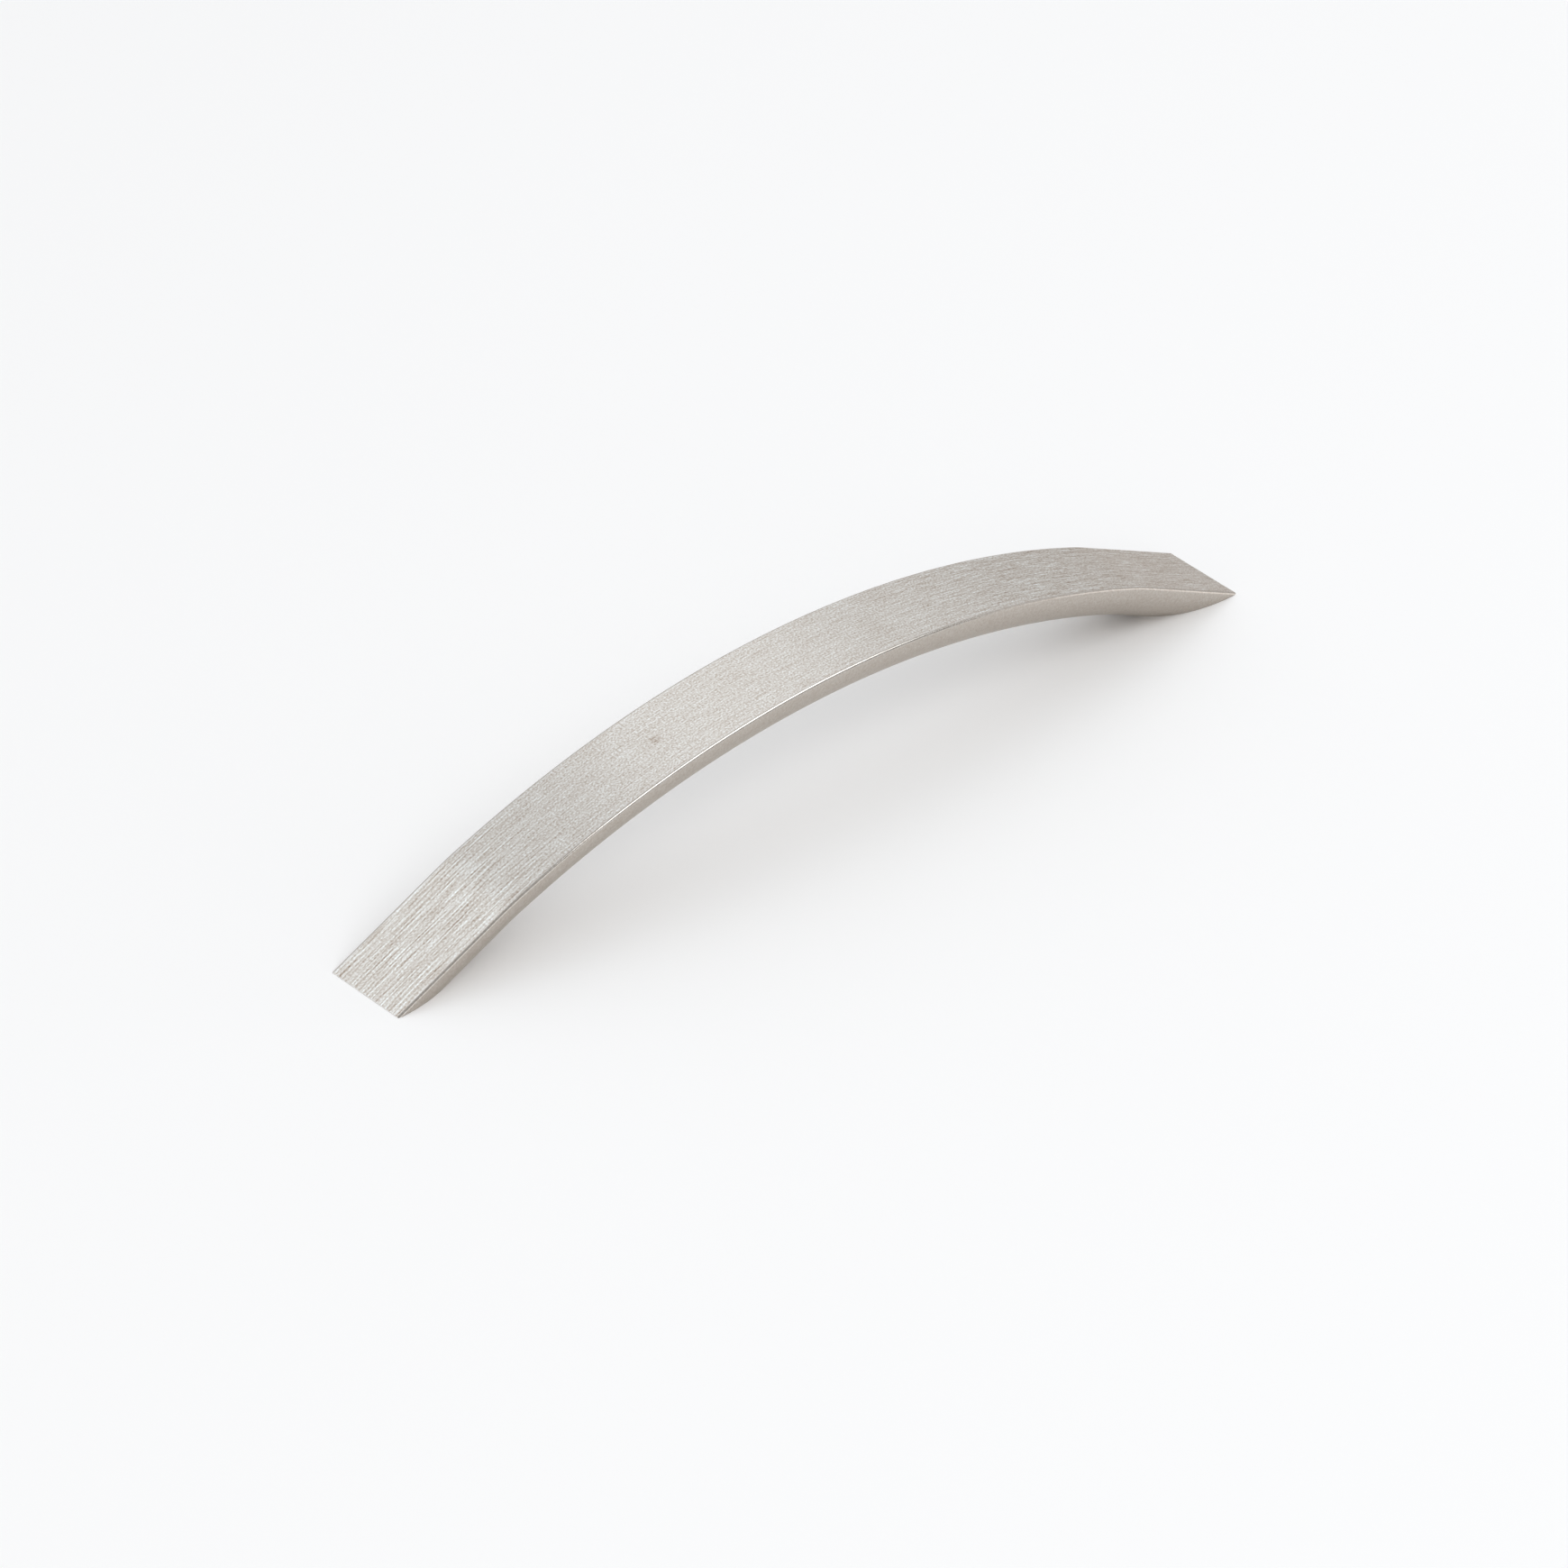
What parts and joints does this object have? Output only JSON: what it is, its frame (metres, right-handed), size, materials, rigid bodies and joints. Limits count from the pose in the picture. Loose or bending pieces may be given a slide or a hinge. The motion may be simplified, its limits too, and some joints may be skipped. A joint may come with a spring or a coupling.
{
  "type": "bow handle",
  "caption": "Bow-shaped pull for a drawer or cabinet door: one cast bar with a flat brushed outer face, a half-round underside and flush-cut feet with threaded screw holes.",
  "frame": {"origin": "midway between the two screw holes, on the plane where the feet meet the cabinet front", "axes": "+X along the handle from foot to foot, +Y across its width, +Z out from the cabinet front"},
  "size_m": [0.188, 0.016, 0.025],
  "materials": {
    "brushed_nickel": "brushed lengthwise on the outer face, satin on the underside"
  },
  "bodies": {
    "root": {"bow_handle": "brushed_nickel"}
  },
  "joints": []
}
